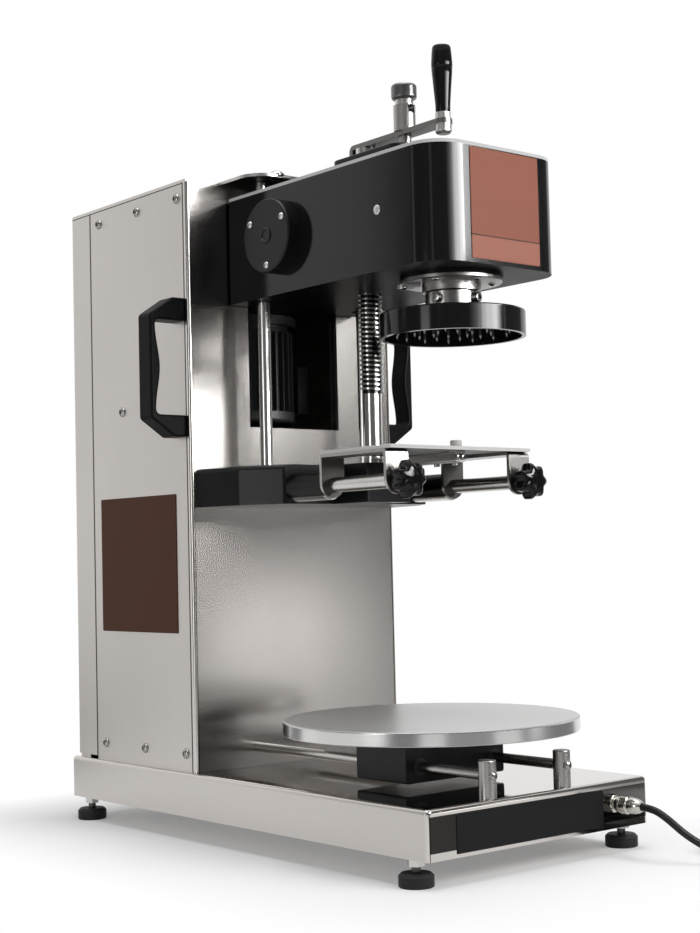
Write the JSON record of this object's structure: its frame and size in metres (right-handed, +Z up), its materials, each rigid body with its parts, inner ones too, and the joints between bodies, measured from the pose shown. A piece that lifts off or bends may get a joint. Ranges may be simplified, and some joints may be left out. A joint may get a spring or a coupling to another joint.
{
  "type": "chocolate shaving machine",
  "caption": "Bench machine with a motor-driven spiked ring on a crank-lifted head, a blade plate below it, and a turntable on rails that catches chocolate shavings on a cake.",
  "frame": {"origin": "on the floor under the middle of the machine's plan", "axes": "+Z up, front towards -Y, +X to the right seen from the front"},
  "size_m": [0.5541, 0.9749, 0.9695],
  "materials": {
    "stainless_sheet": "brushed stainless sheet",
    "bright_steel": "ground bright bar",
    "structural_steel": "primed angle",
    "black_paint": "gloss black paint",
    "grey_lid": "light grey sheet",
    "black_aluminium": "black anodised",
    "aluminium": "turned and brushed",
    "motor_paint": "dark grey enamel",
    "motor_alloy": "raw casting",
    "bronze": "bronze",
    "nickel": "nickel plate",
    "black_plastic": "gloss black plastic",
    "satin_plastic": "satin black plastic",
    "rubber": "black rubber"
  },
  "bodies": {
    "frame": {"base_housing": "stainless_sheet", "front_panel": "stainless_sheet", "side_panel_left": "stainless_sheet", "side_panel_right": "stainless_sheet", "rear_cover": "stainless_sheet", "top_plate": "stainless_sheet", "foot_pads": "rubber", "foot_studs": "bright_steel", "corner_posts": "structural_steel", "handle_left": "satin_plastic", "handle_right": "satin_plastic", "lower_bracket": "black_aluminium", "guide_rod_left": "bright_steel", "guide_rod_right": "bright_steel", "index_block": "black_aluminium", "blade_rod_left": "bright_steel", "blade_rod_right": "bright_steel", "blade_plate": "stainless_sheet", "blade": "bright_steel", "blade_holder": "bright_steel", "blade_bracket_left": "stainless_sheet", "blade_bracket_right": "stainless_sheet", "rails": "bright_steel", "rail_posts": "bright_steel", "cable_gland": "nickel", "mains_lead": "rubber", "lead_coil": "rubber", "coil_tie": "satin_plastic", "mains_plug": "satin_plastic"},
    "screw": {"lead_screw": "bright_steel", "crank_hub": "bright_steel", "crank_arm": "bright_steel", "plunger_body": "bright_steel"},
    "grip": {"crank_grip": "black_plastic"},
    "plunger": {"plunger_pin": "bright_steel"},
    "head": {"head_housing": "black_paint", "head_lid": "grey_lid", "side_cover": "black_plastic", "guide_bushes": "bright_steel", "screw_nut": "bronze", "spindle_bearings": "bright_steel", "bearing_cover": "bright_steel", "slotted_arm": "bright_steel", "drive_belt": "rubber", "motor_body": "motor_paint", "motor_end_bell": "motor_alloy", "terminal_box": "satin_plastic"},
    "spindle": {"spindle_shaft": "bright_steel", "spindle_pulley": "aluminium", "spindle_hub": "bright_steel", "spike_ring": "black_aluminium", "spikes": "bright_steel"},
    "rotor": {"motor_shaft": "bright_steel", "drive_pulley": "aluminium"},
    "star_knob_left": {"knob_left": "black_plastic"},
    "star_knob_right": {"knob_right": "black_plastic"},
    "slide": {"carriage": "satin_plastic", "carriage_bushes": "bronze", "turntable_bearing": "bright_steel"},
    "table": {"turntable": "aluminium"}
  },
  "joints": [
    {"name": "head_lift", "type": "slide", "parent": "frame", "child": "head", "axis": [0, 0, 1], "range_m": [-0.12, 0]},
    {"name": "crank_turn", "type": "hinge", "parent": "frame", "child": "screw", "pos_m": [0, -0.09, 0.873], "axis": [0, 0, 1], "range_deg": [0, 7200]},
    {"name": "grip_spin", "type": "hinge", "parent": "screw", "child": "grip", "pos_m": [0, -0.235, 0.927], "axis": [0, 0, 1], "continuous": true},
    {"name": "plunger_drop", "type": "slide", "parent": "screw", "child": "plunger", "axis": [0, 0, 1], "range_m": [-0.007, 0]},
    {"name": "spindle_spin", "type": "hinge", "parent": "head", "child": "spindle", "pos_m": [0, -0.2416, 0.627], "axis": [0, 0, 1], "continuous": true},
    {"name": "motor_spin", "type": "hinge", "parent": "head", "child": "rotor", "pos_m": [0, 0.166, 0.697], "axis": [0, 0, 1], "continuous": true},
    {"name": "knob_left_turn", "type": "hinge", "parent": "frame", "child": "star_knob_left", "pos_m": [-0.0995, -0.27, 0.44], "axis": [0, -1, 0], "range_deg": [0, 1080]},
    {"name": "knob_right_turn", "type": "hinge", "parent": "frame", "child": "star_knob_right", "pos_m": [0.0995, -0.27, 0.44], "axis": [0, -1, 0], "range_deg": [0, 1080]},
    {"name": "carriage_slide", "type": "slide", "parent": "frame", "child": "slide", "axis": [0, 1, 0], "range_m": [-0.095, 0.09]},
    {"name": "turntable_spin", "type": "hinge", "parent": "slide", "child": "table", "pos_m": [-0.0145, -0.2, 0.155], "axis": [0, 0, 1], "continuous": true}
  ],
  "couplings": [
    {"joint": "crank_turn", "follows": "head_lift", "rad_per_m": -1047.2},
    {"joint": "motor_spin", "follows": "spindle_spin", "ratio": 2}
  ]
}
